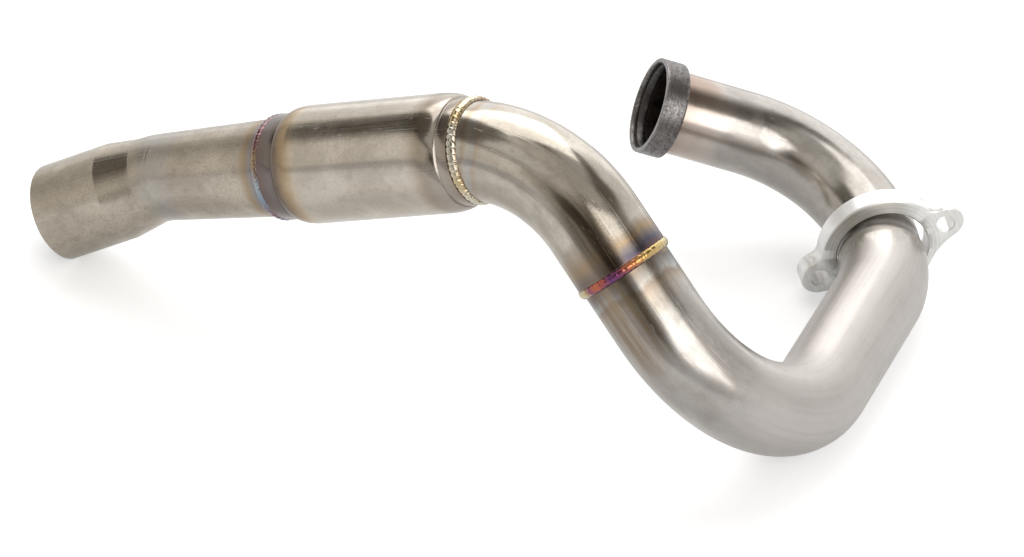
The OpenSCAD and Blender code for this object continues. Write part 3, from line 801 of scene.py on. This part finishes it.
def flangeAlloy():
    f = Finish("flangeAlloy")
    p = f.millimetres()
    x, y, z = f.split(p)
    out = (x * x + y * y) ** 0.5
    cloud, milled = f.haze(p, "cast"), f.grain(p, "milled")
    lathe = f.noise(f.node("ShaderNodeCombineXYZ", None, [out * plate["latheRings"], cloud * 0.5, 0.0]), 1.0, 3, 0.6)
    onFace = z.size().step(*plate["flat"])  # the two flat faces
    turned = f.mix(lathe.step(*shows["lathe"]), plate["shade"], plate["face"])
    colour = f.mix(onFace, plate["wall"], turned)
    colour = f.mix(cloud.step(*shows["cast"]) * 0.35, colour, plate["shade"])
    rough = plate["rough"] + onFace * 0.06 + (lathe - 0.5) * 0.10
    normal = f.emboss(lathe * onFace, "lathe")
    normal = f.emboss(milled * (1 - onFace), "milled", normal)
    normal = f.emboss(cloud, "cast", normal)
    return f.surface(Base_Color=colour, Metallic=0.4 + onFace * 0.58, Roughness=rough.clamped(), Normal=normal)


def makeFlange():
    bm = newMesh()
    bm.from_mesh(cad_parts["exhaust_flange"].data)
    bmesh.ops.remove_doubles(bm, verts=bm.verts, dist=meshing["merge"] * mm)
    for face in bm.faces:
        face.material_index = 0
    bmesh.ops.transform(bm, matrix=stations["flange"].inverted(), verts=bm.verts)
    settle(bm, stations["flange"])
    finishPiece(bm, "exhaustFlange", [flangeAlloy()], "exhaust_flange", 28)


makeFlange()

# the core keeps the frame's own solid; it shows only through the ends
coreTube = {
    "objectSpace": True, "rough": 0.4, "patchy": 0.2, "drawn": 0.3, "clouds": 0.6, "mottle": 0.5, "scratched": 0.4,
    "dimpled": 0.2, "dark": (0.10, 0.085, 0.07), "pale": (0.20, 0.17, 0.14), "warm": (0.19, 0.14, 0.10),
    "smudge": (0.04, 0.032, 0.028),
}
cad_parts["chamber_core"].material_slots[0].material = steel("coreSteel", coreTube)
print("flange and core made")


# floor, lights and camera

studio = {
    "away": (-0.4256, 0.9049, 0), "right": (0.9049, 0.4256, 0),  # seen from the camera, on the ground
    "room": (0.18, 0.162, 0.137),
    # name, azimuth from and to (0 away from the camera, 90 to the right), elevation from and to, softness, colour
    "walls": [
        ("back", -46, 66, -20, 50, 6, (1.05, 1.04, 1.02)),
        ("backGlow", -20, 36, -25, 60, 6, (1.55, 1.54, 1.52)),
        ("rightSide", 60, 176, -20, 40, 5, (0.86, 0.845, 0.825)),
        ("rightOver", 40, 179, 64, 86, 4, (0.56, 0.545, 0.51)),
        ("frontRightOver", 114, 179, 51, 72, 3, (0.60, 0.58, 0.54)),
        ("frontOver", -179.5, -112, 33, 60, 5, (0.70, 0.68, 0.63)),
        ("frontHigh", -179.5, -90, 60, 86, 5, (0.70, 0.68, 0.63)),
        ("frontLeft", -179.5, -138, -20, 34, 2, (0.50, 0.475, 0.42)),
        ("leftSide", -138, -40, -20, 27, 1.5, (0.80, 0.77, 0.71)),
        ("rightGap", 32, 116, 51, 62, 2.5, (0.15, 0.135, 0.115)),
        ("leftGap", -96, -44, 27, 34, 1.2, (0.035, 0.03, 0.026)),
        ("frontGap", -179.5, -148, 8, 26, 2, (0.12, 0.105, 0.085)),
    ],
    # name, azimuth, elevation, distance, wide, high, strength
    "softboxes": [
        ("overhead", -14, 63, 1.45, 1.28, 1.30, 1.85),
        ("frontRight", 146, 28, 2.2, 1.7, 1.5, 1.85),
    ],
    "lamp": (1.0, 0.99, 0.97), "lampAim": (0, 0, 0.05),
    "floor": 6, "paper": (0.92, 0.93, 0.95), "glow": (0.99, 0.995, 1.0), "glowStrength": 0.34,
    # the paper as the steel mirrors it: a dark line at its edge, and how dark the line, what is beyond and the rest are
    "edge": (-0.445, -0.421), "edgeDark": 0.55, "beyondDark": 0.25, "restDark": 0.3, "dark": (0.03, 0.027, 0.023),
}
view = {
    "place": (0.94954, -2.01798, 1.37688), "turned": (58.124, -5.084, 28.35), "sensor": 36, "lens": 204.3,
    "farthest": 30,
}


def direction(azimuth, elevation):
    a, e = math.radians(azimuth), math.radians(elevation)
    flat = Vector(studio["away"]) * math.cos(a) + Vector(studio["right"]) * math.sin(a)
    return flat.normalized() * math.cos(e) + Vector((0, 0, math.sin(e)))


def setWorld():
    world = bpy.data.worlds.new("studio")
    bpy.context.scene.world = world
    f = Finish("studio", world)
    d = f.node("ShaderNodeTexCoord", out="Generated")
    azimuth = f.dot(d, studio["right"]).maths("ARCTAN2", f.dot(d, studio["away"])) * (180 / math.pi)
    elevation = f.dot(d, (0, 0, 1)).maths("ARCSINE") * (180 / math.pi)
    colour = studio["room"]
    for name, left, right, low, high, soft, wall in studio["walls"]:
        colour = f.mix(f.band(azimuth, left, right, soft) * f.band(elevation, low, high, soft), colour, wall)
    background = f.node("ShaderNodeBackground", None, {"Color": colour, "Strength": 1.0})
    f.node("ShaderNodeOutputWorld", None, {"Surface": background})


def setFloor():
    bm = bmesh.new()
    bmesh.ops.create_grid(bm, x_segments=1, y_segments=1, size=studio["floor"])
    mesh = bpy.data.meshes.new("floor")
    bm.to_mesh(mesh)
    bm.free()
    floor = bpy.data.objects.new("floor", mesh)
    bpy.context.scene.collection.objects.link(floor)
    f = Finish("floorPaper")
    camera = f.node("ShaderNodeLightPath", out="Is Camera Ray")
    rays = camera.link.node.outputs
    glossy, passing = Socket(f, rays["Is Glossy Ray"]), Socket(f, rays["Is Transmission Ray"])
    paper = f.node("ShaderNodeBsdfDiffuse", None, {"Color": studio["paper"]})
    glow = f.node("ShaderNodeEmission", None, {"Color": studio["glow"], "Strength": studio["glowStrength"]})
    both = f.node("ShaderNodeAddShader", None, [paper, glow])
    seen = f.node("ShaderNodeMixShader", None, [camera.over(glossy).over(passing), paper, both])
    toward = f.dot(f.node("ShaderNodeTexCoord", out="Object"), studio["away"])
    low, high = studio["edge"]
    line = f.band(toward, low, high, 0.004) * studio["edgeDark"]
    beyond = (1 - toward.step(low - 0.01, low)) * studio["beyondDark"]
    dark = f.node("ShaderNodeBsdfDiffuse", None, {"Color": studio["dark"]})
    mirrored = glossy * (line + beyond + studio["restDark"])
    done = f.node("ShaderNodeMixShader", None, [mirrored, seen, dark])
    f.node("ShaderNodeOutputMaterial", None, {"Surface": done})
    mesh.materials.append(f.material)


def setLights():
    for name, azimuth, elevation, distance, wide, high, strength in studio["softboxes"]:
        light = bpy.data.lights.new(name, "AREA")
        light.shape, light.size, light.size_y = "RECTANGLE", wide, high
        light.energy = strength * math.pi * wide * high
        light.color = studio["lamp"]
        lamp = bpy.data.objects.new(name, light)
        lamp.location = direction(azimuth, elevation) * distance
        lamp.rotation_euler = (Vector(studio["lampAim"]) - lamp.location).to_track_quat("-Z", "Y").to_euler()
        lamp.visible_camera = False
        bpy.context.scene.collection.objects.link(lamp)


def setCamera():
    data = bpy.data.cameras.new("camera")
    data.sensor_width, data.lens, data.clip_end = view["sensor"], view["lens"], view["farthest"]
    camera = bpy.data.objects.new("camera", data)
    camera.location = view["place"]
    camera.rotation_euler = [math.radians(a) for a in view["turned"]]
    bpy.context.scene.collection.objects.link(camera)
    bpy.context.scene.camera = camera
    bpy.context.scene.view_settings.view_transform = "Standard"


setWorld()
setFloor()
setLights()
setCamera()

print("scene ready")
